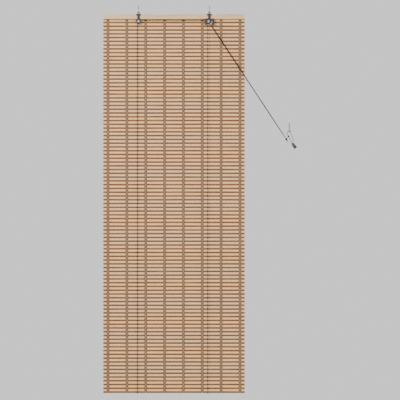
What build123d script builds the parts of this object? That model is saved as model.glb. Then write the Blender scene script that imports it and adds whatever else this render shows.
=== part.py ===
"""Bamboo roll up blind: a woven sheet of bamboo slats on a wooden head rail.

Two lift cords run down behind the sheet, under it and up its front, over a pulley and a cord
lock, and away to a wall hook. Millimetres, +Z up, +X to the right, the front is -Y. The origin
is midway between the two ceiling hooks, in the plane of the ceiling.
"""

from build123d import *
import os
from math import cos, radians, sin

os.makedirs("parts", exist_ok=True)

# Sheet of slats
blind_width = 600.0
slat_width = 7.6
slat_gap = 0.4
slat_thickness = 2.0
slat_edge = 0.4
visible_slats = 198
tucked_slats = 2
fixed_slats = 15
first_panel_slats = 3
slats_grow_every = 4

# Warp yarns
yarn_columns = 8
yarn_edge_inset = 20.0
yarn_width = 8.0
yarn_thickness = 0.48
yarn_clearance = 0.02
yarn_end_inset = 1.2

# Head rail
rail_height = 20.0
rail_depth = 12.0
rail_edge = 1.0
rail_drop = 17.0
sheet_drop = 1.9

# Hardware places
hook_spacing = 300.0
plate_thickness = 1.5
plate_front_y = -4.75
frame_inner_depth = 9.75
axle_drop = 30.0
lock_axle_shift = -1.5

# Pulley frame plate, its heights measured from the top of the rail
plate_half_width = 10.0
neck_half_width = 4.3
neck_top = 11.7
shoulder_top = 2.3
shoulder_bottom = -5.3
waist_half_width = 5.5
cheek_top = -18.0
frame_bottom = -39.7
frame_corner = 6.0
eye_radius = 2.4
eye_clearance = 0.15
shelf_half_width = 8.0

# Sheave and its rivet
sheave_radius = 6.5
groove_radius = 4.3
groove_width = 2.8
groove_rib = 1.0
sheave_side_gap = 0.35
rivet_radius = 1.6
rivet_clearance = 0.05
rivet_head_radius = 3.8
rivet_head_height = 1.3
rivet_tail_radius = 2.6
rivet_tail_height = 0.4

# Cord lock
lock_left = -19.3
lock_right = 20.1
lock_top = -18.0
lock_bottom = -40.0
lock_foot_drop = 4.3
lock_foot_width = 7.0
window_left = -7.8
window_right = 1.0
window_bar = 2.2
window_half_height = 8.2
window_tip = 1.2
lock_corner = 1.5
roller_radius = 4.0
roller_pin_radius = 1.5
roller_shift = 10.8
roller_drop = 31.2
roller_travel = 3.0
roller_slope = 30.0
slot_clearance = 0.25
post_radius = 2.0
post_drop = 40.0

# Screws and hooks
screw_radius = 1.4
screw_head_radius = 2.7
screw_head_height = 1.0
screw_length = 9.0
screw_drops = (-8.2, -15.2)
hook_wire_radius = 1.5
hook_bend_radius = 4.0
hook_eye_height = 5.5
hook_tip_length = 2.0
hook_screw_radius = 2.0
hook_shank_radius = 1.8
hook_screw_length = 23.5
screw_cone_length = 7.0
flange_radius = 9.0
flange_height = 3.6
flange_clearance = 0.05

# Staples through the tucked slats
staple_half_span = 5.2
staple_leg_radius = 0.5
staple_leg_length = 8.0
staple_clearance = 0.05
staple_drop = 9.7

# Cords
lift_cord_radius = 1.1
cord_clearance = 0.1
back_run_gap = 0.4
bottom_drop = 3.2
anchor_drop = 3.0
anchor_ring_radius = 2.9
anchor_wire_radius = 0.9
anchor_shank_length = 5.0
anchor_knot_radius = 2.6
anchor_knot_lift = 2.1
cord_split_drop = 33.0
small_cord_radius = 1.0

# Wall hook and what hangs on it, heights measured from the top of the rail
wall_y = 20.0
wall_hook_x = 488.8
wall_hook_radius = 2.2
wall_hook_bend = 4.0
wall_hook_arm_y = -3.0
wall_hook_top = -460.0
wall_hook_drop = -497.4
wall_screw_radius = 1.9
wall_screw_length = 24.0
tie_y = 1.625
pull_knot_at = (476.0, -529.3)
pull_knot_radius = 4.3
strand_spread = 0.65
pull_tail_at = (483.3, -541.0)
loop_knot_at = (486.2, -517.0)
loop_knot_radius = 3.6
link_start = 0.17
loop_turn_radius = 5.5
tassel_top_at = (501.0, -545.5)
tassel_slant = 35.0
tassel_length = 27.0
tassel_top_radius = 3.6
tassel_bottom_radius = 6.4
tassel_swell = 1.6
tassel_bore_radius = 2.2
tassel_bore_depth = 4.0

# Places that follow from the sizes above
slat_pitch = slat_width + slat_gap
half_width = blind_width / 2
rail_top = -rail_drop
rail_bottom = rail_top - rail_height
rail_front_y = plate_front_y + plate_thickness
rail_back_y = rail_front_y + rail_depth
slat_front_y = rail_back_y + yarn_thickness + yarn_clearance
slat_back_y = slat_front_y + slat_thickness
slat_middle_y = slat_front_y + slat_thickness / 2
yarn_back_y = slat_back_y + yarn_clearance
sheet_back_y = yarn_back_y + yarn_thickness
yarn_faces = (rail_back_y + yarn_thickness, sheet_back_y)
sheet_top = rail_bottom - sheet_drop
yarn_pitch = (blind_width - 2 * yarn_edge_inset) / (yarn_columns - 1)
yarn_xs = [yarn_edge_inset - half_width + yarn_pitch * i for i in range(yarn_columns)]
hook_x = hook_spacing / 2
rear_cheek_y = rail_front_y + frame_inner_depth
rear_cheek_back_y = rear_cheek_y + plate_thickness
axle_z = rail_top - axle_drop
lock_axle_x = hook_x + lock_axle_shift
cord_turn_radius = groove_radius + lift_cord_radius + cord_clearance
groove_offset = (groove_width + groove_rib) / 2
frame_middle_y = rail_front_y + frame_inner_depth / 2
front_groove_y = frame_middle_y - groove_offset
rear_groove_y = frame_middle_y + groove_offset
sheave_width = frame_inner_depth - 2 * sheave_side_gap
back_run_y = sheet_back_y + back_run_gap + lift_cord_radius
sheet_bottom = sheet_top - visible_slats * slat_pitch


def top_of_row(row):
    """Height of the upper edge line of a row of the sheet, row 0 being the first below the rail."""
    return sheet_top - row * slat_pitch


def rows_sketch(first, count):
    """End faces of the slats of some rows, each with its long edges eased."""
    with BuildSketch(Plane.YZ.offset(-half_width)) as rows:
        for row in range(first, first + count):
            with Locations((slat_middle_y, top_of_row(row) - slat_pitch / 2)):
                Rectangle(slat_thickness, slat_width)
        chamfer(rows.vertices(), slat_edge)
    return rows.sketch


def yarns_sketch(first, count, back_face):
    """Back faces of the flat warp yarns that cover some rows on one side of the sheet."""
    length = count * slat_pitch - 2 * yarn_end_inset
    middle = top_of_row(first) - count * slat_pitch / 2
    with BuildSketch(Plane.XZ.offset(-back_face)) as yarns:
        with Locations([(x, middle) for x in yarn_xs]):
            Rectangle(yarn_width, length)
    return yarns.sketch


def cheek_sketch(back_face, left, right, top, bottom, corner):
    """A frame's cheek seen from the front, with its two lower corners rounded."""
    with BuildSketch(Plane.XZ.offset(-back_face)) as cheek:
        with Locations(((left + right) / 2, (top + bottom) / 2)):
            Rectangle(right - left, top - bottom)
        fillet(cheek.vertices().group_by(Axis.Z)[0], corner)
    return cheek.sketch


def save(piece, name):
    """Names a finished piece and writes its STEP file."""
    piece.part.label = name
    export_step(piece.part, f"parts/{name}.step")


# Head rail: planed wood with eased edges and pilot holes for every fixing
staple_spots = [(x + side * staple_half_span) for x in yarn_xs for side in (-1, 1)]
left_cord_x = -hook_x - cord_turn_radius
right_cord_x = lock_axle_x - cord_turn_radius
anchor_z = rail_top - anchor_drop

with BuildPart() as head_rail:
    with BuildSketch(Plane.YZ.offset(-half_width)):
        with Locations(((rail_front_y + rail_back_y) / 2, rail_top - rail_height / 2)):
            Rectangle(rail_depth, rail_height)
        fillet(vertices(), rail_edge)
    extrude(amount=blind_width)
    with BuildSketch(Plane.XZ.offset(-rail_front_y)):
        with Locations([(x, rail_top + z) for x in (-hook_x, hook_x) for z in screw_drops]):
            Circle(screw_radius)
    extrude(amount=-screw_length + plate_thickness, mode=Mode.SUBTRACT)
    with BuildSketch(Plane.XZ.offset(-rail_back_y)):
        with Locations([(x, rail_top - staple_drop) for x in staple_spots]):
            Circle(staple_leg_radius + staple_clearance)
    extrude(amount=staple_leg_length - (sheet_back_y - rail_back_y), mode=Mode.SUBTRACT)
    with BuildSketch(Plane.XZ.offset(-rail_back_y)):
        with Locations([(x, anchor_z) for x in (left_cord_x, right_cord_x)]):
            Circle(anchor_wire_radius)
    extrude(amount=anchor_shank_length, mode=Mode.SUBTRACT)
save(head_rail, "head_rail")

# Staples: a flat-crowned wire over each yarn, its legs through the tucked slat into the rail
with BuildPart() as rail_staples:
    with BuildSketch(Plane.XZ.offset(-sheet_back_y)):
        with Locations([(x, rail_top - staple_drop) for x in staple_spots]):
            Circle(staple_leg_radius)
    extrude(amount=staple_leg_length)
    with BuildSketch(Plane.XZ.offset(-sheet_back_y - 2 * staple_leg_radius)):
        with Locations([(x, rail_top - staple_drop) for x in yarn_xs]):
            Rectangle(2 * (staple_half_span + staple_leg_radius), 2 * staple_leg_radius)
    extrude(amount=2 * staple_leg_radius)
save(rail_staples, "rail_staples")

# Fixed rows: two tucked behind the rail and the first rows below it, which never roll
with BuildPart() as slats_fixed:
    extrude(rows_sketch(-tucked_slats, tucked_slats + fixed_slats), amount=blind_width)
    for face in yarn_faces:
        extrude(yarns_sketch(-tucked_slats, tucked_slats + fixed_slats, face), amount=yarn_thickness)
    with BuildSketch(Plane.XZ.offset(-sheet_back_y)):
        with Locations([(x, rail_top - staple_drop) for x in staple_spots]):
            Circle(staple_leg_radius + staple_clearance)
    extrude(amount=sheet_back_y - rail_back_y, mode=Mode.SUBTRACT)
save(slats_fixed, "slats_fixed")

# Rolling rows: stiff groups that get longer from the core of the roll at the bottom edge outwards
panel_rows = []
rows_left = visible_slats - fixed_slats
while rows_left > 0:
    step = len(panel_rows)
    wanted = first_panel_slats + step // slats_grow_every - step % 2
    panel_rows.append(min(wanted, rows_left))
    rows_left -= panel_rows[-1]

first_row = fixed_slats
for number, count in enumerate(reversed(panel_rows), start=1):
    with BuildPart() as slat_panel:
        extrude(rows_sketch(first_row, count), amount=blind_width)
        for face in yarn_faces:
            extrude(yarns_sketch(first_row, count, face), amount=yarn_thickness)
    save(slat_panel, f"slat_panel_{number:02d}")
    first_row += count


# Pulley frame: a stamped plate that hangs on the ceiling hook, crosses the face of the rail,
# passes under it as a shelf and ends in a second cheek behind the sheave
def hanger_sketch(x):
    """Neck, shoulders and waist of a frame's front plate, with the eye for the hook."""
    with BuildSketch(Plane.XZ.offset(-rail_front_y)) as face:
        with Locations((x, rail_top + (neck_top + shoulder_bottom) / 2)):
            Rectangle(2 * neck_half_width, neck_top - shoulder_bottom)
        fillet(face.vertices().group_by(Axis.Z)[-1], neck_half_width * 0.9)
        with Locations((x, rail_top + (shoulder_top + shoulder_bottom) / 2)):
            Rectangle(2 * plate_half_width, shoulder_top - shoulder_bottom)
        with Locations((x, rail_top + (shoulder_bottom + cheek_top) / 2)):
            Rectangle(2 * waist_half_width, shoulder_bottom - cheek_top)
        eye_top = rail_top + hook_eye_height + hook_wire_radius + eye_clearance
        with Locations((x, eye_top - eye_radius)):
            Circle(eye_radius, mode=Mode.SUBTRACT)
        with Locations([(x, rail_top + z) for z in screw_drops]):
            Circle(screw_radius, mode=Mode.SUBTRACT)
    return face.sketch


def shelf_sketch(x):
    """The strip under the rail that joins a frame's two cheeks."""
    depth = rear_cheek_back_y - rail_front_y
    with BuildSketch(Plane.XY.offset(rail_bottom - plate_thickness)) as shelf:
        with Locations((x, rail_front_y + depth / 2)):
            Rectangle(2 * shelf_half_width, depth)
    return shelf.sketch


rear_cheek_top = rail_bottom - plate_thickness

with BuildPart() as left_pulley_frame:
    extrude(hanger_sketch(-hook_x), amount=plate_thickness)
    for back_face, top in ((rail_front_y, rail_top + cheek_top), (rear_cheek_back_y, rear_cheek_top)):
        left = -hook_x - plate_half_width
        right = -hook_x + plate_half_width
        bottom = rail_top + frame_bottom
        extrude(cheek_sketch(back_face, left, right, top, bottom, frame_corner), amount=plate_thickness)
    extrude(shelf_sketch(-hook_x), amount=plate_thickness)
    with BuildSketch(Plane.XZ.offset(-rear_cheek_back_y)):
        with Locations((-hook_x, axle_z)):
            Circle(rivet_radius)
    extrude(amount=rear_cheek_back_y - plate_front_y, mode=Mode.SUBTRACT)
save(left_pulley_frame, "left_pulley_frame")

# Cord lock frame: the same hanger on a wider pair of cheeks with feet, a window over the sheave
# and a slanted slot for the knurled roller
roller_x = hook_x + roller_shift
roller_z = rail_top - roller_drop
post_x = lock_axle_x + cord_turn_radius + lift_cord_radius + cord_clearance + post_radius
post_z = rail_top - post_drop
roller_end_x = roller_x - roller_travel * sin(radians(roller_slope))
roller_end_z = roller_z - roller_travel * cos(radians(roller_slope))
slot_width = 2 * (roller_pin_radius + slot_clearance)
slot_length = roller_travel + slot_width

with BuildPart() as cord_lock_frame:
    extrude(hanger_sketch(hook_x), amount=plate_thickness)
    left = hook_x + lock_left
    right = hook_x + lock_right
    bottom = rail_top + lock_bottom
    for back_face, top in ((rail_front_y, rail_top + lock_top), (rear_cheek_back_y, rear_cheek_top)):
        extrude(cheek_sketch(back_face, left, right, top, bottom, lock_corner), amount=plate_thickness)
        with BuildSketch(Plane.XZ.offset(-back_face)):
            with Locations(
                (left + lock_foot_width / 2, bottom), (right - lock_foot_width / 2, bottom)
            ):
                Rectangle(lock_foot_width, 2 * lock_foot_drop)
        extrude(amount=plate_thickness)
    extrude(shelf_sketch(hook_x), amount=plate_thickness)
    with BuildSketch(Plane.XZ.offset(-rear_cheek_back_y)):
        with Locations((lock_axle_x, axle_z), (post_x, post_z)):
            Circle(rivet_radius)
        with Locations(((roller_x + roller_end_x) / 2, (roller_z + roller_end_z) / 2)):
            SlotOverall(slot_length, slot_width, rotation=90 - roller_slope)
    extrude(amount=rear_cheek_back_y - plate_front_y, mode=Mode.SUBTRACT)
    with BuildSketch(Plane.XZ.offset(-rail_front_y)):
        for side in (-1, 1):
            with BuildLine():
                Polyline(
                    (hook_x + window_left, axle_z),
                    (hook_x + window_left, axle_z + side * window_half_height),
                    (hook_x + window_right, axle_z + side * window_half_height),
                    (hook_x + window_left + window_bar, axle_z + side * window_tip),
                    (hook_x + window_left + window_bar, axle_z),
                    close=True,
                )
            make_face()
    extrude(amount=plate_thickness, mode=Mode.SUBTRACT)
save(cord_lock_frame, "cord_lock_frame")


def sheave_sketch(x):
    """Half section of the twin-groove sheave on an axle along Y at x."""
    bore = rivet_radius + rivet_clearance
    with BuildSketch(Plane.XY.offset(axle_z)) as section:
        with Locations((x + (bore + sheave_radius) / 2, frame_middle_y)):
            Rectangle(sheave_radius - bore, sheave_width)
        with Locations(
            (x + (groove_radius + sheave_radius) / 2, front_groove_y),
            (x + (groove_radius + sheave_radius) / 2, rear_groove_y),
        ):
            Rectangle(sheave_radius - groove_radius, groove_width, mode=Mode.SUBTRACT)
    return section.sketch


with BuildPart() as left_sheave:
    revolve(sheave_sketch(-hook_x), axis=Axis((-hook_x, 0, axle_z), (0, 1, 0)))
save(left_sheave, "left_sheave")

with BuildPart() as lock_sheave:
    revolve(sheave_sketch(lock_axle_x), axis=Axis((lock_axle_x, 0, axle_z), (0, 1, 0)))
save(lock_sheave, "lock_sheave")


def rivet_sketch(x, z, head_radius):
    """Half section of a pin across both cheeks, domed in front and closed flat behind."""
    tail_y = rear_cheek_back_y + rivet_tail_height
    dome_y = plate_front_y - rivet_head_height
    with BuildSketch(Plane.XY.offset(z)) as section:
        with BuildLine():
            Polyline(
                (x, dome_y),
                (x, tail_y),
                (x + rivet_tail_radius, tail_y),
                (x + rivet_tail_radius, rear_cheek_back_y),
                (x + rivet_radius, rear_cheek_back_y),
                (x + rivet_radius, plate_front_y),
                (x + head_radius, plate_front_y),
            )
            dome_radius = (head_radius**2 + rivet_head_height**2) / (2 * rivet_head_height)
            RadiusArc((x + head_radius, plate_front_y), (x, dome_y), dome_radius)
        make_face()
    return section.sketch


with BuildPart() as sheave_rivets:
    for x, head_radius in ((-hook_x, rivet_head_radius), (lock_axle_x, rivet_tail_radius)):
        revolve(rivet_sketch(x, axle_z, head_radius), axis=Axis((x, 0, axle_z), (0, 1, 0)))
save(sheave_rivets, "sheave_rivets")

# Guide post of the lock: a sleeve over its own rivet, which the cords bend round
with BuildPart() as lock_guide_post:
    post_axis = Axis((post_x, 0, post_z), (0, 1, 0))
    revolve(rivet_sketch(post_x, post_z, rivet_tail_radius), axis=post_axis)
    with BuildSketch(Plane.XZ.offset(-rail_front_y)):
        with Locations((post_x, post_z)):
            Circle(post_radius)
    extrude(amount=-frame_inner_depth)
save(lock_guide_post, "lock_guide_post")

# Knurled roller: a barrel between the cheeks with a pin in each slot
with BuildPart() as lock_roller:
    with BuildSketch(Plane.XZ.offset(-frame_middle_y - sheave_width / 2)):
        with Locations((roller_x, roller_z)):
            Circle(roller_radius)
    extrude(amount=sheave_width)
    chamfer(edges().filter_by(GeomType.CIRCLE), 0.3)
    with BuildSketch(Plane.XZ.offset(-rear_cheek_back_y - 0.3)):
        with Locations((roller_x, roller_z)):
            Circle(roller_pin_radius)
    extrude(amount=frame_inner_depth + 2 * plate_thickness + 1.1)
save(lock_roller, "lock_roller")

# Frame screws: pan heads on the front plates, their shanks in the rail
with BuildPart() as frame_screws:
    screw_spots = [(x, rail_top + z) for x in (-hook_x, hook_x) for z in screw_drops]
    with BuildSketch(Plane.XZ.offset(-plate_front_y)):
        with Locations(screw_spots):
            Circle(screw_radius)
    extrude(amount=-screw_length)
    with BuildSketch(Plane.XZ.offset(-plate_front_y)):
        with Locations(screw_spots):
            Circle(screw_head_radius)
    extrude(amount=screw_head_height)
    head_rims = faces().sort_by(Axis.Y)[:4].edges()
    chamfer(head_rims, 0.5)
save(frame_screws, "frame_screws")

# Ceiling hooks: a wood screw above the ceiling, a plain shank through the flange, and a lower end
# that is bent forward through the eye of the frame
hook_low_z = rail_top + hook_eye_height
bend_z = hook_low_z + hook_bend_radius

with BuildPart() as ceiling_hooks:
    for x in (-hook_x, hook_x):
        with BuildSketch(Plane.XZ):
            with BuildLine():
                Polyline(
                    (x, -flange_height),
                    (x + hook_shank_radius, -flange_height),
                    (x + hook_shank_radius, 0),
                    (x + hook_screw_radius, 0),
                    (x + hook_screw_radius, hook_screw_length - screw_cone_length),
                    (x, hook_screw_length),
                    close=True,
                )
            make_face()
        revolve(axis=Axis((x, 0, 0), (0, 0, 1)))
        with BuildLine():
            Line((x, 0, -flange_height), (x, 0, bend_z))
            ThreePointArc(
                (x, 0, bend_z),
                (x, -hook_bend_radius, hook_low_z),
                (x, -2 * hook_bend_radius, bend_z),
            )
            Line(
                (x, -2 * hook_bend_radius, bend_z),
                (x, -2 * hook_bend_radius, bend_z + hook_tip_length),
            )
        with BuildSketch(Plane((x, 0, -flange_height), z_dir=(0, 0, -1))):
            Circle(hook_wire_radius)
        sweep()
save(ceiling_hooks, "ceiling_hooks")

# Flanges: pressed saucers that hide the screw holes in the ceiling
with BuildPart() as hook_flanges:
    for x in (-hook_x, hook_x):
        with BuildSketch(Plane.XZ):
            with BuildLine():
                inner = hook_shank_radius + flange_clearance
                Line((x + inner, 0), (x + flange_radius, 0))
                Line((x + flange_radius, 0), (x + flange_radius, -0.8))
                ThreePointArc(
                    (x + flange_radius, -0.8),
                    (x + flange_radius * 0.7, -flange_height * 0.72),
                    (x + inner, -flange_height),
                )
                Line((x + inner, -flange_height), (x + inner, 0))
            make_face()
        revolve(axis=Axis((x, 0, 0), (0, 0, 1)))
save(hook_flanges, "hook_flanges")

# Anchor eyes: small screw eyes in the back of the rail that hold the fixed ends of the cords
with BuildPart() as cord_anchor_eyes:
    ring_y = back_run_y
    for x in (left_cord_x, right_cord_x):
        with BuildSketch(Plane.XZ.offset(-rail_back_y + anchor_shank_length)):
            with Locations((x, anchor_z)):
                Circle(anchor_wire_radius)
        extrude(amount=-anchor_shank_length - (ring_y - anchor_ring_radius - rail_back_y))
        with BuildSketch(Plane.XZ.offset(-ring_y)):
            with Locations((x + anchor_ring_radius, anchor_z)):
                Circle(anchor_wire_radius)
        revolve(axis=Axis((x, ring_y, 0), (0, 0, 1)))
save(cord_anchor_eyes, "cord_anchor_eyes")


# Lift cords: knotted above the anchor eye, down behind the sheet, under its bottom edge, up its
# front and over the sheaves, as far as the pinch of the lock
over_lock_radius = cord_turn_radius - 0.05
top_run_z = axle_z + cord_turn_radius
under_z = sheet_bottom - bottom_drop
cord_start_z = anchor_z + anchor_knot_lift
split_z = rail_top - cord_split_drop
lock_side_x = lock_axle_x + cord_turn_radius


def lift_cord(x, groove_y, first_corner_radius):
    """Route points and radii of one lift cord."""
    under_radius = (back_run_y - groove_y) / 2 - 0.1
    points = [
        (x, back_run_y, cord_start_z),
        (x, back_run_y, under_z),
        (x, groove_y, under_z),
        (x, groove_y, top_run_z),
        (lock_side_x, groove_y, top_run_z),
        (lock_side_x, groove_y, split_z),
    ]
    return points, [under_radius, under_radius, first_corner_radius, over_lock_radius]


lift_cords = {
    "left_lift_cord": (left_cord_x, *lift_cord(left_cord_x, rear_groove_y, cord_turn_radius)),
    "right_lift_cord": (right_cord_x, *lift_cord(right_cord_x, front_groove_y, over_lock_radius)),
}
for name, (x, points, radii) in lift_cords.items():
    with BuildPart() as lift_cord_solid:
        with BuildLine() as route:
            FilletPolyline(*points, radius=radii)
        with BuildSketch(Plane(route.line @ 0, z_dir=route.line % 0)):
            Circle(lift_cord_radius)
        sweep()
        with Locations((x, back_run_y, cord_start_z)):
            Sphere(anchor_knot_radius)
    save(lift_cord_solid, name)
    print(f"{name}: length {route.wire().length:.1f} mm, arc radii {radii}")

# Pull strands: the same two cords from the pinch of the lock, round the guide post and taut to
# the knot beside the wall hook
post_turn_radius = post_radius + lift_cord_radius + cord_clearance
knot_x, knot_drop = pull_knot_at
knot_z = rail_top + knot_drop
corner_z = post_z - 0.96


def pull_strand(groove_y):
    """Route points of one strand from the lock to the knot."""
    return [
        (lock_side_x, groove_y, split_z),
        (lock_side_x, groove_y, corner_z),
        (knot_x, tie_y + (groove_y - tie_y) * strand_spread, knot_z),
    ]


for name, groove_y in (("left_pull_strand", rear_groove_y), ("right_pull_strand", front_groove_y)):
    with BuildPart() as strand:
        with BuildLine() as route:
            FilletPolyline(*pull_strand(groove_y), radius=post_turn_radius)
        with BuildSketch(Plane(route.line @ 0, z_dir=route.line % 0)):
            Circle(lift_cord_radius)
        sweep()
    save(strand, name)
    print(f"{name}: length {route.wire().length:.1f} mm, arc radius {post_turn_radius}")

# Knot of the two strands, with their short tail
tail_x, tail_drop = pull_tail_at
with BuildPart() as pull_knot:
    with Locations((knot_x, tie_y, knot_z)):
        Sphere(pull_knot_radius)
    with BuildLine() as tail:
        Line((knot_x, tie_y, knot_z), (tail_x, tie_y, rail_top + tail_drop))
    with BuildSketch(Plane(tail.line @ 0, z_dir=tail.line % 0)):
        Circle(1.6 * small_cord_radius)
    sweep(path=tail.line)
save(pull_knot, "pull_knot")

# Knot of the tassel's loop, and the short cord that ties it to the pull knot
loop_x, loop_drop = loop_knot_at
with BuildPart() as loop_knot:
    with Locations((loop_x, tie_y, rail_top + loop_drop)):
        Sphere(loop_knot_radius)
save(loop_knot, "loop_knot")

with BuildPart() as link_cord:
    with BuildLine() as link:
        loop_knot_end = (loop_x, tie_y, rail_top + loop_drop)
        between_knots = Line((knot_x, tie_y, knot_z), loop_knot_end, mode=Mode.PRIVATE)
        Line(between_knots @ link_start, between_knots @ (1 - link_start))
    with BuildSketch(Plane(link.line @ 0, z_dir=link.line % 0)):
        Circle(1.3 * small_cord_radius)
    sweep(path=link.line)
save(link_cord, "link_cord")

# Wall hook: an L-shaped screw hook, its arm upright in front of the wall
shank_z = rail_top + wall_hook_drop
with BuildPart() as wall_hook:
    with BuildLine() as bar:
        FilletPolyline(
            (wall_hook_x, wall_hook_arm_y, rail_top + wall_hook_top),
            (wall_hook_x, wall_hook_arm_y, shank_z),
            (wall_hook_x, wall_y, shank_z),
            radius=wall_hook_bend,
        )
    with BuildSketch(Plane(bar.line @ 0, z_dir=bar.line % 0)):
        Circle(wall_hook_radius)
    sweep(path=bar.line)
    with BuildSketch(Plane.XY.offset(shank_z)):
        with BuildLine():
            Polyline(
                (wall_hook_x, wall_y),
                (wall_hook_x + wall_screw_radius, wall_y),
                (wall_hook_x + wall_screw_radius, wall_y + wall_screw_length - screw_cone_length),
                (wall_hook_x, wall_y + wall_screw_length),
                close=True,
            )
        make_face()
    revolve(axis=Axis((wall_hook_x, 0, shank_z), (0, 1, 0)))
save(wall_hook, "wall_hook")

# Tassel loop: from the tassel up over the wall hook's shank, down through its knot and back
tassel_x, tassel_drop = tassel_top_at
tassel_z = rail_top + tassel_drop
loop_top_z = shank_z + wall_hook_radius + small_cord_radius + cord_clearance
loop_points = [
    (tassel_x, tie_y, tassel_z - tassel_bore_depth),
    (tassel_x + 6.5, tie_y, tassel_z + 9.0),
    (wall_hook_x + loop_turn_radius + 5.5, tie_y, loop_top_z - 20.0),
    (wall_hook_x + loop_turn_radius, tie_y, loop_top_z - 9.0),
    (wall_hook_x + loop_turn_radius, tie_y, loop_top_z),
    (wall_hook_x - loop_turn_radius, tie_y, loop_top_z),
    (wall_hook_x - loop_turn_radius - 5.0, tie_y, loop_top_z - 13.0),
    (loop_x, tie_y, rail_top + loop_drop),
    (tassel_x - 5.0, tie_y, tassel_z + 8.0),
    (tassel_x - 0.5, tie_y, tassel_z - tassel_bore_depth + 0.5),
]
loop_radii = [6.0, 14.0, 9.0, 5.2, 5.2, 5.0, 10.0, 6.0]
with BuildPart() as tassel_loop_cord:
    with BuildLine() as route:
        FilletPolyline(*loop_points, radius=loop_radii)
    with BuildSketch(Plane(route.line @ 0, z_dir=route.line % 0)):
        Circle(small_cord_radius)
    sweep()
save(tassel_loop_cord, "tassel_loop_cord")
print(f"tassel_loop_cord: length {route.wire().length:.1f} mm, arc radii {loop_radii}")

# Tassel: a turned bell with a bored top that takes both ends of the loop
tassel_tilt = radians(tassel_slant)
tassel_side = Vector(cos(tassel_tilt), 0, sin(tassel_tilt))
tassel_up = Vector(-sin(tassel_tilt), 0, cos(tassel_tilt))
tassel_face = Plane((tassel_x, tie_y, tassel_z), x_dir=tassel_side, z_dir=tassel_side.cross(tassel_up))
with BuildPart() as cord_tassel:
    with BuildSketch(tassel_face):
        with BuildLine():
            Line((tassel_bore_radius, 0), (tassel_top_radius, 0))
            ThreePointArc(
                (tassel_top_radius, 0),
                (tassel_top_radius + tassel_swell, -tassel_length * 0.35),
                (tassel_bottom_radius, -tassel_length),
            )
            Polyline(
                (tassel_bottom_radius, -tassel_length),
                (0, -tassel_length),
                (0, -tassel_bore_depth),
                (tassel_bore_radius, -tassel_bore_depth),
                (tassel_bore_radius, 0),
            )
        make_face()
    revolve(axis=Axis((tassel_x, tie_y, tassel_z), tassel_up))
save(cord_tassel, "cord_tassel")
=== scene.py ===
"""Looks of a bamboo roll up blind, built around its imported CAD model. Metres, +Z up, front is -Y."""

import math
import random

import bpy
import numpy as np
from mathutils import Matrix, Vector


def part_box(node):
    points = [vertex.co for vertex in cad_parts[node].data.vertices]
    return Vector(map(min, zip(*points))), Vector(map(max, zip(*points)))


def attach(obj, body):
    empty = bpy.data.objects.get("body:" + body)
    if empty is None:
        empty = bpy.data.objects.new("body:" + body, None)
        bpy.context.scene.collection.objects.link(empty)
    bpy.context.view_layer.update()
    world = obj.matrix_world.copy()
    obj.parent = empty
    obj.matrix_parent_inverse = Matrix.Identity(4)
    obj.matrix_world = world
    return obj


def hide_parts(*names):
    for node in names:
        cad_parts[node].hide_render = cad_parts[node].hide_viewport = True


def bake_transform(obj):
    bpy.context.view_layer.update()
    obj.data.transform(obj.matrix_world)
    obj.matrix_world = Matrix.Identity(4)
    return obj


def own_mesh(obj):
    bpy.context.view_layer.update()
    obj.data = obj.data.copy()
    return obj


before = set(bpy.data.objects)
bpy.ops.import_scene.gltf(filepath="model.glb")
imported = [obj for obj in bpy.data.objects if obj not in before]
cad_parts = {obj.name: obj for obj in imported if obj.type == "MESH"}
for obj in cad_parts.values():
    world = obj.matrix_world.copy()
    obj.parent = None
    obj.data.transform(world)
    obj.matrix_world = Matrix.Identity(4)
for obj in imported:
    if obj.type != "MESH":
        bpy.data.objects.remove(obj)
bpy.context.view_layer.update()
rng = random.Random(11)
MM = 0.001

# Rows of the sheet: 8 mm apart, light and dark by turns, two of them tucked behind the rail
PITCH = 8 * MM
GAP = 0.4 * MM
TUCKED = 2
SLAT_THICKNESS = 2 * MM
RAIL_TO_SLATS = 0.5 * MM
YARN_PITCH = 80 * MM
YARN_COLUMNS = 8
YARN_EDGE = 20 * MM

fixed_low, fixed_high = (Vector(corner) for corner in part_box("slats_fixed"))
sheet_top = fixed_high.z - TUCKED * PITCH + GAP / 2
half_width = fixed_high.x
rail_high = Vector(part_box("head_rail")[1])
slat_front = rail_high.y + RAIL_TO_SLATS
slat_back = slat_front + SLAT_THICKNESS
yarn_xs = [-half_width + YARN_EDGE + YARN_PITCH * i for i in range(YARN_COLUMNS)]


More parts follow.
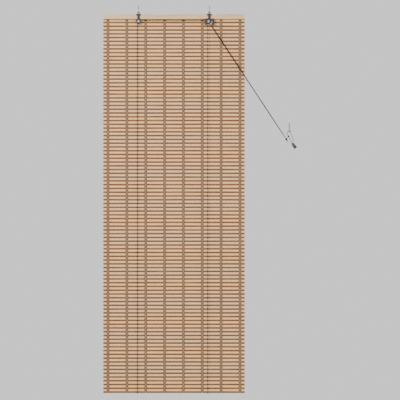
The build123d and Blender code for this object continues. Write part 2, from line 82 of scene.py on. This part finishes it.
# ---------------------------------------------------------------- materials
class Shader:
    """A material being built: its nodes are added by short calls."""

    def __init__(self, name, roughness, metallic=0.0, **sockets):
        self.material = bpy.data.materials.new(name)
        self.material.use_nodes = True
        self.tree = self.material.node_tree
        self.bsdf = self.tree.nodes["Principled BSDF"]
        self.bsdf.inputs["Roughness"].default_value = roughness
        self.bsdf.inputs["Metallic"].default_value = metallic
        for socket, value in sockets.items():
            self.bsdf.inputs[socket.replace("_", " ")].default_value = value

    def node(self, kind, **settings):
        made = self.tree.nodes.new(kind)
        for key, value in settings.items():
            setattr(made, key, value)
        return made

    def link(self, source, target):
        self.tree.links.new(source, target)

    def coordinates(self, scale):
        """Object coordinates stretched by scale."""
        place = self.node("ShaderNodeTexCoord")
        mapping = self.node("ShaderNodeMapping")
        mapping.inputs["Scale"].default_value = scale
        self.link(place.outputs["Object"], mapping.inputs["Vector"])
        return mapping.outputs["Vector"]

    def noise(self, scale, detail=4.0, roughness=0.6):
        texture = self.node("ShaderNodeTexNoise")
        texture.inputs["Scale"].default_value = 1.0
        texture.inputs["Detail"].default_value = detail
        texture.inputs["Roughness"].default_value = roughness
        self.link(self.coordinates(scale), texture.inputs["Vector"])
        return texture.outputs["Fac"]

    def ramp(self, source, *stops):
        made = self.node("ShaderNodeValToRGB")
        while len(made.color_ramp.elements) < len(stops):
            made.color_ramp.elements.new(0.5)
        for element, (position, colour) in zip(made.color_ramp.elements, stops):
            element.position = position
            element.color = (*colour, 1.0)
        self.link(source, made.inputs["Fac"])
        return made.outputs["Color"]

    def math(self, operation, *values):
        made = self.node("ShaderNodeMath", operation=operation)
        for socket, value in zip(made.inputs, values):
            if isinstance(value, (int, float)):
                socket.default_value = value
            else:
                self.link(value, socket)
        return made.outputs["Value"]

    def spread(self, source, low, high, to_low=0.0, to_high=1.0):
        """Maps low..high of a value smoothly to to_low..to_high."""
        made = self.node("ShaderNodeMapRange", interpolation_type="SMOOTHSTEP")
        made.inputs["From Min"].default_value = low
        made.inputs["From Max"].default_value = high
        made.inputs["To Min"].default_value = to_low
        made.inputs["To Max"].default_value = to_high
        self.link(source, made.inputs["Value"])
        return made.outputs["Result"]

    def mix(self, factor, first, second, blend="MIX"):
        made = self.node("ShaderNodeMix", data_type="RGBA", blend_type=blend)
        for socket, value in zip((made.inputs[0], made.inputs[6], made.inputs[7]), (factor, first, second)):
            if isinstance(value, (int, float)):
                socket.default_value = value
            elif isinstance(value, tuple):
                socket.default_value = (*value, 1.0)
            else:
                self.link(value, socket)
        return made.outputs[2]

    def attribute(self, name):
        made = self.node("ShaderNodeAttribute", attribute_name=name)
        parts = self.node("ShaderNodeSeparateColor")
        self.link(made.outputs["Color"], parts.inputs["Color"])
        return parts.outputs["Red"], parts.outputs["Green"], parts.outputs["Blue"]

    def colour(self, source):
        self.link(source, self.bsdf.inputs["Base Color"])

    def bump(self, height, distance, strength=1.0):
        made = self.node("ShaderNodeBump")
        made.inputs["Distance"].default_value = distance
        made.inputs["Strength"].default_value = strength
        self.link(height, made.inputs["Height"])
        self.link(made.outputs["Normal"], self.bsdf.inputs["Normal"])


def bamboo_material():
    """Light inner faces and dark skin faces, streaked along the slat, each slat a little different."""
    s = Shader("bamboo", 0.62, Specular_IOR_Level=0.25)
    dark, shade, warm = s.attribute("slat")
    joint, _, _ = s.attribute("joint")
    streak = s.noise((9.0, 300.0, 420.0), 5.0)
    fibre = s.noise((40.0, 1500.0, 2400.0), 3.0)
    patch = s.noise((6.0, 60.0, 60.0), 2.0)
    pale = s.mix(warm, (0.80, 0.45, 0.17), (0.84, 0.43, 0.195))
    pale = s.mix(s.spread(shade, 0.0, 1.0, 0.0, 0.45), pale, (0.72, 0.43, 0.165))
    deep = s.mix(warm, (0.100, 0.046, 0.012), (0.120, 0.038, 0.014))
    deep = s.mix(s.spread(shade, 0.0, 1.0, 0.0, 0.55), deep, (0.070, 0.035, 0.010))
    base = s.mix(dark, pale, deep)
    base = s.mix(s.spread(streak, 0.35, 0.75, 0.0, 0.30), base, (0.36, 0.17, 0.055))
    base = s.mix(s.spread(patch, 0.45, 0.80, 0.0, 0.12), base, (0.74, 0.45, 0.20))
    base = s.mix(s.spread(fibre, 0.30, 0.70, 0.0, 0.16), base, (0.16, 0.085, 0.035))
    place = s.node("ShaderNodeTexCoord")
    axes = s.node("ShaderNodeSeparateXYZ")
    s.link(place.outputs["Object"], axes.inputs["Vector"])
    from_yarn = s.math("PINGPONG", s.math("ADD", axes.outputs["X"], half_width - YARN_EDGE), YARN_PITCH / 2)
    # Painted shade: beside each yarn column the dark slats are darkened, standing in for the yarn's shadow on
    # them
    painted_yarn_shadow = s.spread(from_yarn, 4 * MM, 10 * MM, 0.85, 0.0)
    base = s.mix(s.math("MULTIPLY", painted_yarn_shadow, dark), base, (0.035, 0.018, 0.008))
    # Painted shade: every slat darker just outside the yarn's edges, standing in for the yarn's contact
    # shadow
    painted_yarn_edge_shade = s.spread(from_yarn, 5 * MM, 7.5 * MM, 0.75, 0.0)
    base = s.mix(painted_yarn_edge_shade, base, (0.13, 0.065, 0.024))
    base = s.mix(s.math("MULTIPLY", joint, 0.5), base, (0.19, 0.11, 0.05))
    s.colour(base)
    s.bump(s.math("ADD", s.math("MULTIPLY", streak, 0.7), fibre), 0.00018)
    return s.material


def rail_material():
    """Planed pale wood with a fine straight grain."""
    s = Shader("rail_wood", 0.65, Specular_IOR_Level=0.3)
    grain = s.noise((5.0, 130.0, 210.0), 6.0)
    pores = s.noise((60.0, 1600.0, 1600.0), 2.0)
    tone = s.noise((2.5, 30.0, 30.0), 2.0)
    base = s.ramp(grain, (0.30, (0.38, 0.23, 0.10)), (0.50, (0.55, 0.36, 0.185)), (0.68, (0.62, 0.42, 0.225)))
    base = s.mix(s.spread(tone, 0.35, 0.7, 0.0, 0.35), base, (0.50, 0.35, 0.165))
    base = s.mix(s.spread(pores, 0.55, 0.8, 0.0, 0.35), base, (0.30, 0.19, 0.10))
    s.colour(base)
    s.bump(s.math("ADD", grain, s.math("MULTIPLY", pores, 0.4)), 0.00025)
    return s.material


def yarn_material():
    """Twisted jute-like warp yarn, each column its own tone."""
    s = Shader("warp_yarn", 0.92, Sheen_Weight=0.25)
    red, shade, over = s.attribute("slat")
    wave = s.node("ShaderNodeTexWave", wave_type="BANDS", bands_direction="DIAGONAL")
    wave.inputs["Scale"].default_value = 1.0
    wave.inputs["Distortion"].default_value = 2.5
    wave.inputs["Detail"].default_value = 2.0
    s.link(s.coordinates((420.0, 420.0, 420.0)), wave.inputs["Vector"])
    fuzz = s.noise((900.0, 900.0, 900.0), 4.0)
    base = s.mix(red, (0.185, 0.100, 0.042), (0.205, 0.070, 0.030))
    base = s.mix(over, base, (0.330, 0.180, 0.075))
    base = s.mix(s.spread(shade, 0.0, 1.0, 0.0, 0.4), base, (0.120, 0.068, 0.028))
    base = s.mix(s.spread(wave.outputs["Fac"], 0.1, 0.7, 0.45, 0.0), base, (0.13, 0.085, 0.045))
    base = s.mix(s.spread(fuzz, 0.45, 0.75, 0.0, 0.3), base, (0.42, 0.29, 0.17))
    s.colour(base)
    s.bump(s.math("ADD", wave.outputs["Fac"], fuzz), 0.00025)
    return s.material


def cord_material(name, dark, light):
    """Braided cord: fine crossed plaits with a dull, fuzzy surface."""
    s = Shader(name, 0.9, Specular_IOR_Level=0.12)
    plait = s.node("ShaderNodeTexVoronoi")
    plait.inputs["Scale"].default_value = 1.0
    s.link(s.coordinates((1300.0, 1300.0, 620.0)), plait.inputs["Vector"])
    fuzz = s.noise((2200.0, 2200.0, 2200.0), 3.0)
    tone = s.noise((60.0, 60.0, 60.0), 2.0)
    base = s.mix(s.spread(plait.outputs["Distance"], 0.15, 0.75), light, dark)
    base = s.mix(s.spread(tone, 0.35, 0.7, 0.0, 0.35), base, dark)
    base = s.mix(s.spread(fuzz, 0.5, 0.8, 0.0, 0.3), base, light)
    s.colour(base)
    s.bump(s.math("SUBTRACT", 1.0, plait.outputs["Distance"]), 0.00035)
    return s.material


def metal_material(name, colour, worn, roughness, metallic):
    """Metal with a faint surface texture, fine scratches and rubbed patches."""
    s = Shader(name, roughness, metallic)
    speckle = s.noise((500.0, 500.0, 500.0), 4.0)
    rubbed = s.noise((160.0, 160.0, 160.0), 5.0, 0.7)
    base = s.mix(s.spread(rubbed, 0.58, 0.72, 0.0, 0.55), colour, worn)
    base = s.mix(s.spread(speckle, 0.4, 0.7, 0.0, 0.35), base, worn)
    s.colour(base)
    uneven = s.spread(speckle, 0.2, 0.8, roughness * 0.75, min(1.0, roughness * 1.3))
    s.link(uneven, s.bsdf.inputs["Roughness"])
    s.bump(speckle, 0.00006)
    return s.material


def plastic_material():
    """Dull black moulded plastic."""
    s = Shader("black_plastic", 0.5)
    speckle = s.noise((700.0, 700.0, 700.0), 3.0)
    base = s.mix(s.spread(speckle, 0.35, 0.75), (0.022, 0.022, 0.024), (0.045, 0.044, 0.046))
    s.colour(base)
    s.bump(speckle, 0.00008)
    return s.material


BAMBOO = bamboo_material()
RAIL = rail_material()
YARN = yarn_material()
LIFT = cord_material("lift_cord", (0.008, 0.004, 0.002), (0.040, 0.020, 0.009))
STRING = cord_material("loop_cord", (0.012, 0.005, 0.003), (0.055, 0.026, 0.014))
BLACK = metal_material("black_metal", (0.012, 0.011, 0.012), (0.050, 0.048, 0.050), 0.42, 0.0)
STEEL = metal_material("bright_steel", (0.60, 0.60, 0.62), (0.42, 0.42, 0.44), 0.28, 1.0)
GREY = metal_material("screw_steel", (0.20, 0.20, 0.22), (0.10, 0.10, 0.11), 0.42, 1.0)
WHITE = metal_material("white_metal", (0.80, 0.80, 0.81), (0.62, 0.62, 0.63), 0.30, 0.0)
PLASTIC = plastic_material()


# ---------------------------------------------------------------- mesh helpers
def piece(name, vertices, faces, material):
    """A new mesh object, its vertices given in the shared frame."""
    mesh = bpy.data.meshes.new(name)
    mesh.from_pydata([tuple(v) for v in vertices], [], [tuple(f) for f in faces])
    mesh.materials.append(material)
    mesh.polygons.foreach_set("use_smooth", [True] * len(mesh.polygons))
    mesh.update()
    made = bpy.data.objects.new(name, mesh)
    bpy.context.collection.objects.link(made)
    return made


def paint(made, name, colours):
    """Stores one colour for each vertex under a name that the materials read."""
    layer = made.data.attributes.new(name, "FLOAT_COLOR", "POINT")
    layer.data.foreach_set("color", np.asarray(colours, np.float32).ravel())


def grid_faces(rings, sides):
    """Faces of a capped tube of rings, each with the same number of sides."""
    faces = []
    for i in range(rings - 1):
        here = i * sides
        there = (i + 1) * sides
        for k in range(sides):
            n = (k + 1) % sides
            faces.append((here + k, here + n, there + n, there + k))
    faces.append(tuple(reversed(range(sides))))
    faces.append(tuple((rings - 1) * sides + k for k in range(sides)))
    return faces


def tube(points, radii, sides):
    """Vertices and faces of a round tube along points, with a frame that doesn't twist."""
    vertices, normal = [], None
    for i, point in enumerate(points):
        before = points[max(i - 1, 0)]
        after = points[min(i + 1, len(points) - 1)]
        tangent = (after - before).normalized()
        if normal is None:
            normal = tangent.orthogonal().normalized()
        normal = (normal - tangent * normal.dot(tangent)).normalized()
        side = tangent.cross(normal)
        for k in range(sides):
            a = 2 * math.pi * k / sides
            vertices.append(point + (normal * math.cos(a) + side * math.sin(a)) * radii[i])
    return vertices, grid_faces(len(points), sides)


# ---------------------------------------------------------------- the woven sheet
def slat_profile():
    """Outline of a slat's section as (y from its front face, z from its middle), crowned in front."""
    half = (PITCH - GAP) / 2
    return [
        (0.70 * MM, half), (0.22 * MM, half - 0.22 * MM), (0.02 * MM, half - 0.8 * MM), (0.0, 0.0),
        (0.02 * MM, -half + 0.8 * MM), (0.22 * MM, -half + 0.22 * MM), (0.70 * MM, -half),
        (1.75 * MM, -half + 0.05 * MM), (SLAT_THICKNESS, -half + 0.5 * MM),
        (SLAT_THICKNESS, half - 0.5 * MM), (1.75 * MM, half - 0.05 * MM),
    ]


# A slat's cross sections along its length, its growth nodes, and how it waves up and down
STATIONS = 16
NODE_HEAD, NODE_TAIL = 2.5 * MM, 1.5 * MM
NODE_SWELL = 0.06 * MM
NODE_NARROWING = 0.012
WAVES_ALONG = 14


def slat(row):
    """Vertices, faces and two colours for each vertex of one slat."""
    middle = sheet_top - (row + 0.5) * PITCH
    tone = [float(row % 2), rng.random(), rng.random()]
    # two growth nodes, left and right, each a raised section between two plain ones
    joints = [rng.uniform(-0.28, -0.08), rng.uniform(0.0, 0.28)]
    stations = {round(-half_width + 2 * half_width * i / STATIONS, 5): 0.0 for i in range(STATIONS + 1)}
    for x in joints:
        stations[round(x - NODE_HEAD, 5)] = 0.0
        stations[round(x, 5)] = 1.0
        stations[round(x + NODE_TAIL, 5)] = 0.0
    phase, wave = rng.uniform(0, 6.28), rng.uniform(0.03, 0.10) * MM
    vertices, slat_colour, joint_colour = [], [], []
    profile = slat_profile()
    for x in sorted(stations):
        drift = wave * math.sin(phase + WAVES_ALONG * x)
        swell = NODE_SWELL * stations[x]
        height = 1 - NODE_NARROWING * stations[x]
        for y, z in profile:
            rise = -swell if y < MM else swell
            vertices.append((x, slat_front + y + rise, middle + z * height + drift))
            slat_colour.append((*tone, 1.0))
            joint_colour.append((stations[x], 0.0, 0.0, 1.0))
    return vertices, grid_faces(len(stations), len(profile)), slat_colour, joint_colour


# The leftmost column of yarn is the reddest
COLUMN_TONES = [(0.95 if i == 0 else rng.uniform(0.0, 0.45)) for i in range(YARN_COLUMNS)]
SIDES = 8
# Where along a row a strand has its points, from the gap above the row downwards
HEIGHTS = (0.0, 0.12, 0.5, 0.88)
# A strand's middle lies this far off a slat's face, and shifts this far sideways from row to row
YARN_DEPTH = 0.25 * MM
YARN_SHIFT = 0.25 * MM
# Half thickness of a strand, and its half width as a share of its width
THICK_ON_SLAT, THICK_IN_GAP = 0.23 * MM, 0.19 * MM
WIDE_IN_GAP, WIDE_MIDDLE, WIDE_EDGE = 0.40, 0.5, 0.47
# Between two rows the strands of a column draw together by this share of their distance
GAP_PULL = 0.22


def strand(column, offset, width, over, first, count):
    """One warp strand of some rows: in front of the light rows (over 0) or of the dark rows (over 1)."""
    x_middle = yarn_xs[column] + offset
    face = (slat_front - YARN_DEPTH, slat_back + YARN_DEPTH)
    centre = (slat_front + slat_back) / 2

    def in_gap(z):
        """The narrow point of the strand where it passes between two rows."""
        return (x_middle - offset * GAP_PULL, centre, z, width * WIDE_IN_GAP, THICK_IN_GAP)

    path = []
    for row in range(first, first + count):
        y = face[0] if row % 2 == over else face[1]
        # the two factors only make the shift look irregular
        shift = math.sin(row * 12.9898 + column * 78.233) * YARN_SHIFT
        for part in HEIGHTS:
            z = sheet_top - (row + part) * PITCH
            if part == 0.0:
                path.append(in_gap(z))
                continue
            wide = WIDE_MIDDLE if part == 0.5 else WIDE_EDGE
            path.append((x_middle + shift, y, z, width * wide, THICK_ON_SLAT))
    path.append(in_gap(sheet_top - (first + count) * PITCH))
    vertices, colours = [], []
    for i, (x, y, z, wide, thick) in enumerate(path):
        before, after = path[max(i - 1, 0)], path[min(i + 1, len(path) - 1)]
        dy, dz = after[1] - before[1], after[2] - before[2]
        length = math.hypot(dy, dz)
        ny, nz = -dz / length, dy / length
        for k in range(SIDES):
            a = 2 * math.pi * k / SIDES
            u, v = math.cos(a) * wide, math.sin(a) * thick
            vertices.append((x + u, y + ny * v, z + nz * v))
            tone = 0.5 + 0.5 * math.sin(i * 0.37 + column * 2.1)
            colours.append((COLUMN_TONES[column], tone, float(over), 1.0))
    return vertices, grid_faces(len(path), SIDES), colours


# Each column of yarn: a strand's distance from its middle, its width, and the rows that it
# covers in front (0 light, 1 dark)
STRANDS = ((-2.6 * MM, 5.0 * MM, 0), (2.6 * MM, 5.0 * MM, 0), (0.0, 5.4 * MM, 1))


def slat_rows(name, first, count):
    """The slats of some rows, as one piece."""
    vertices, faces, tones, joints = [], [], [], []
    for row in range(first, first + count):
        v, f, slat_colour, joint_colour = slat(row)
        faces += [tuple(len(vertices) + k for k in face) for face in f]
        vertices += v
        tones += slat_colour
        joints += joint_colour
    made = piece(f"slats_{name}", vertices, faces, BAMBOO)
    paint(made, "slat", tones)
    paint(made, "joint", joints)
    made.data.set_sharp_from_angle(angle=math.radians(50))
    return made


def yarn_rows(name, first, count):
    """The yarn of some rows, as one piece."""
    vertices, faces, tones = [], [], []
    for column in range(YARN_COLUMNS):
        for offset, width, over in STRANDS:
            v, f, colours = strand(column, offset, width, over, first, count)
            faces += [tuple(len(vertices) + k for k in face) for face in f]
            vertices += v
            tones += colours
    made = piece(f"yarn_{name}", vertices, faces, YARN)
    paint(made, "slat", tones)
    return made


panels = sorted(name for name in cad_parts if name.startswith("slat_panel_"))
panel_rows = [round((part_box(p)[1][2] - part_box(p)[0][2] + GAP) / PITCH) for p in panels]
fixed_rows = round((fixed_high.z - fixed_low.z + GAP) / PITCH) - TUCKED

# Each panel's slats are stiff and ride on it. The yarn runs from the middle of one panel to the
# middle of the next.
slats = slat_rows("top", -TUCKED, TUCKED + fixed_rows)
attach(slats, "rail_assembly")
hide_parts("slats_fixed")
upper_body, upper_half = "rail_assembly", fixed_rows // 2
yarn = yarn_rows("top", -TUCKED, TUCKED + fixed_rows - upper_half)
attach(yarn, "rail_assembly")
row = fixed_rows
for number, (panel, rows) in enumerate(zip(panels, panel_rows), 1):
    slats = slat_rows(f"{number:02d}", row, rows)
    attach(slats, panel)
    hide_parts(panel)
    lower_half = (rows + 1) // 2
    yarn = yarn_rows(f"{number:02d}", row - upper_half, upper_half + lower_half)
    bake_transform(yarn)
    row += rows
    upper_body, upper_half = panel, rows - lower_half
yarn = yarn_rows("bottom", row - upper_half, upper_half)
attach(yarn, upper_body)

# ---------------------------------------------------------------- CAD nodes
# Shown as they are, except the two lift cords, which are copied below
NODE_MATERIALS = {
    "head_rail": RAIL, "rail_staples": STEEL, "left_pulley_frame": BLACK, "cord_lock_frame": BLACK,
    "left_sheave": STEEL, "lock_sheave": STEEL, "sheave_rivets": STEEL, "lock_guide_post": STEEL,
    "lock_roller": STEEL, "frame_screws": BLACK, "ceiling_hooks": GREY, "hook_flanges": WHITE,
    "cord_anchor_eyes": STEEL, "wall_hook": GREY, "link_cord": STRING,
    "pull_knot": STRING, "loop_knot": STRING, "left_lift_cord": LIFT, "right_lift_cord": LIFT,
}
for name, material in NODE_MATERIALS.items():
    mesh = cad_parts[name].data
    mesh.materials.clear()
    mesh.materials.append(material)

# ---------------------------------------------------------------- cords
def mm(*points):
    """Points given in millimetres, in metres."""
    return [tuple(c * MM for c in point) for point in points]


# Copies of the two lift cords, riding on the rail. They don't follow the folds.
for name in ("left_lift_cord", "right_lift_cord"):
    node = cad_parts[name]
    cord = bpy.data.objects.new(name + "_braided", node.data.copy())
    cord.matrix_world = node.matrix_world.copy()
    bpy.context.collection.objects.link(cord)
    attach(cord, "rail_assembly")
    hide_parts(name)
    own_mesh(cord)


def hung_cord(name, node, points, radius, material):
    """A cord as a smooth NURBS line."""
    curve = bpy.data.curves.new(name, "CURVE")
    curve.dimensions = "3D"
    spline = curve.splines.new("NURBS")
    spline.points.add(len(points) - 1)
    for control, point in zip(spline.points, points):
        control.co = (*point, 1.0)
    spline.order_u = 3
    spline.use_endpoint_u = True
    spline.resolution_u = 12
    curve.bevel_depth = radius
    curve.bevel_resolution = 3
    curve.use_fill_caps = True
    curve.materials.append(material)
    made = bpy.data.objects.new(name, curve)
    bpy.context.collection.objects.link(made)
    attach(made, "rail_assembly")
    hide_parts(node)


# The pull strands, in millimetres: down to the guide post, round its bend, then straight to the knot.
# The closing is what is left of their distance in depth at the knot.
STRAND_SPACING = 2.6
STRAND_RADIUS = 1.1
STRAND_CLOSING = 0.65
POST_X, ENTRY_Z, BEND_Z = 154.0, -50.0, -57.96
KNOT_X, KNOT_Y, KNOT_Z = 476.0, 1.625, -546.3
HOLD_AFTER_BEND, HOLD_BEFORE_KNOT = 8, 20
for name, groove_y, side, pieces in (
    ("left_pull_strand", 3.525, 1, ("pull_knot", "link_cord", "loop_knot")),
    ("right_pull_strand", -0.275, -1, ()),
):
    end_y = KNOT_Y + (groove_y - KNOT_Y) * STRAND_CLOSING
    knot = (KNOT_X, end_y, KNOT_Z)
    run = Vector((KNOT_X - POST_X, end_y - groove_y, KNOT_Z - BEND_Z))
    # seen from the front the two strands lie side by side, as far as the knot
    aside = run.cross(Vector((0, 1, 0))).normalized() * side * STRAND_SPACING / 2
    # a point just beyond the bend and one just before the knot keep the strand straight between
    after_bend = Vector((POST_X, groove_y, BEND_Z)) + run.normalized() * HOLD_AFTER_BEND
    near_knot = Vector(knot) - run.normalized() * HOLD_BEFORE_KNOT + aside
    route = mm((POST_X, groove_y, ENTRY_Z), (POST_X, groove_y, BEND_Z), after_bend + aside, near_knot, knot)
    hung_cord(name + "_braided", name, route, STRAND_RADIUS * MM, LIFT)

# The tassel: a fluted bell on a slant, wider towards its lower end. Each point of its outline is
# a distance from its top and a radius, in millimetres.
TASSEL_TOP = Vector((501.0, KNOT_Y, -562.5)) * MM
TASSEL_SLANT = math.radians(35)
TASSEL_AXIS = Vector((math.sin(TASSEL_SLANT), 0, -math.cos(TASSEL_SLANT)))
TASSEL_OUTLINE = (
    (0, 0.3), (0, 2.6), (0.5, 3.6), (2, 4.8), (6, 5.8), (11, 6.4),
    (17, 6.9), (23, 7.3), (25.6, 7.2), (26.7, 6.4), (27, 5.4), (27, 0.3),
)
FLUTES, FLUTE_DEPTH, TASSEL_SIDES = 12, 0.045, 96
across = TASSEL_AXIS.orthogonal().normalized()
along = TASSEL_AXIS.cross(across)
vertices = []
for distance, radius in TASSEL_OUTLINE:
    for k in range(TASSEL_SIDES):
        a = 2 * math.pi * k / TASSEL_SIDES
        r = radius * (1 - FLUTE_DEPTH * (0.5 + 0.5 * math.cos(FLUTES * a)))
        spoke = across * math.cos(a) + along * math.sin(a)
        vertices.append(TASSEL_TOP + (TASSEL_AXIS * distance + spoke * r) * MM)
tassel = piece("tassel", vertices, grid_faces(len(TASSEL_OUTLINE), TASSEL_SIDES), PLASTIC)
tassel.data.set_sharp_from_angle(angle=math.radians(40))
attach(tassel, "rail_assembly")
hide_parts("cord_tassel")

# The loop, its points as (x, z) in millimetres: over the wall hook and down into the tassel
LOOP_RADIUS = 1.0
loop_route = mm(*((x, KNOT_Y, z) for x, z in (
    (486.2, -534.0), (478.3, -524.1), (483.3, -511.1), (494.3, -511.1), (494.3, -520.1),
    (499.8, -531.1), (507.5, -553.5), (501.0, -566.5), (496.0, -554.5), (487.4, -536.5),
)))
hung_cord("tassel_loop", "tassel_loop_cord", loop_route, LOOP_RADIUS * MM, STRING)


# ---------------------------------------------------------------- screw threads
THREAD_SIDES = 5
THREAD_STEPS = 14
RIDGE = 0.28 * MM
RIDGE_START, RIDGE_RISE = 0.15, 8
HOOK_X, HOOK_THREAD_Z = 0.150, 3 * MM
HOOK_THREAD_LENGTH = 12 * MM
HOOK_THREAD_RADIUS = 1.9 * MM
HOOK_THREAD_LEAD = 1.7 * MM


def thread(name, start, axis, length, radius, lead, body):
    """The ridge of a wood screw, running round it from start along axis."""
    axis = Vector(axis).normalized()
    side = axis.orthogonal().normalized()
    other = axis.cross(side)
    steps = int(length / lead * THREAD_STEPS)
    line, radii = [], []
    for i in range(steps + 1):
        a = 2 * math.pi * i / THREAD_STEPS
        around = side * math.cos(a) + other * math.sin(a)
        line.append(Vector(start) + axis * (length * i / steps) + around * radius)
        taper = min(1.0, RIDGE_START + i / RIDGE_RISE, RIDGE_START + (steps - i) / RIDGE_RISE)
        radii.append(RIDGE * taper)
    vertices, faces = tube(line, radii, THREAD_SIDES)
    made = piece(name, vertices, faces, GREY)
    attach(made, body)


for side_name, x in (("left", -HOOK_X), ("right", HOOK_X)):
    thread(f"{side_name}_hook_thread", (x, 0, HOOK_THREAD_Z), (0, 0, 1), HOOK_THREAD_LENGTH,
           HOOK_THREAD_RADIUS, HOOK_THREAD_LEAD, "rail_assembly")

# ---------------------------------------------------------------- camera, light, floor
VIEW_WIDTH = 1.697
CAMERA_DISTANCE = 9.0
CAMERA_X, CAMERA_BELOW_RAIL = 0.1103, 0.7869
SENSOR_WIDTH = 36
camera_data = bpy.data.cameras.new("camera")
camera_data.sensor_width = SENSOR_WIDTH
camera_data.lens = SENSOR_WIDTH * CAMERA_DISTANCE / VIEW_WIDTH
camera = bpy.data.objects.new("camera", camera_data)
camera.location = (CAMERA_X, slat_front - CAMERA_DISTANCE, rail_high.z - CAMERA_BELOW_RAIL)
camera.rotation_euler = (math.radians(90), 0, 0)
bpy.context.collection.objects.link(camera)
bpy.context.scene.camera = camera


def area_light(name, place, target, size, power):
    data = bpy.data.lights.new(name, "AREA")
    data.shape = "SQUARE"
    data.size = size
    data.energy = power
    lamp = bpy.data.objects.new(name, data)
    lamp.location = place
    lamp.rotation_euler = (Vector(target) - Vector(place)).to_track_quat("-Z", "Y").to_euler()
    bpy.context.collection.objects.link(lamp)


middle = (0.0, 0.0, -0.8)
area_light("key", (-2.2, -3.4, 1.2), middle, 1.3, 230)
area_light("fill", (2.6, -3.0, -0.6), middle, 2.4, 40)
area_light("back", (1.0, 3.4, 0.8), middle, 2.4, 60)
world = bpy.data.worlds.new("studio")
world.use_nodes = True
world.node_tree.nodes["Background"].inputs["Color"].default_value = (1.0, 1.0, 1.0, 1.0)
world.node_tree.nodes["Background"].inputs["Strength"].default_value = 1.0
bpy.context.scene.world = world

floor_material = Shader("floor", 0.8)
floor_tone = floor_material.noise((3.0, 3.0, 3.0), 2.0)
floor_material.colour(floor_material.mix(floor_tone, (0.80, 0.80, 0.79), (0.84, 0.84, 0.83)))
FLOOR_Z = -2.6
FLOOR_REACH = 4
corners = [(x * FLOOR_REACH, y * FLOOR_REACH, FLOOR_Z) for x, y in ((-1, -1), (1, -1), (1, 1), (-1, 1))]
floor_mesh = bpy.data.meshes.new("floor")
floor_mesh.from_pydata(corners, [], [(0, 1, 2, 3)])
floor_mesh.materials.append(floor_material.material)
floor = bpy.data.objects.new("floor", floor_mesh)
bpy.context.collection.objects.link(floor)

bpy.context.view_layer.update()
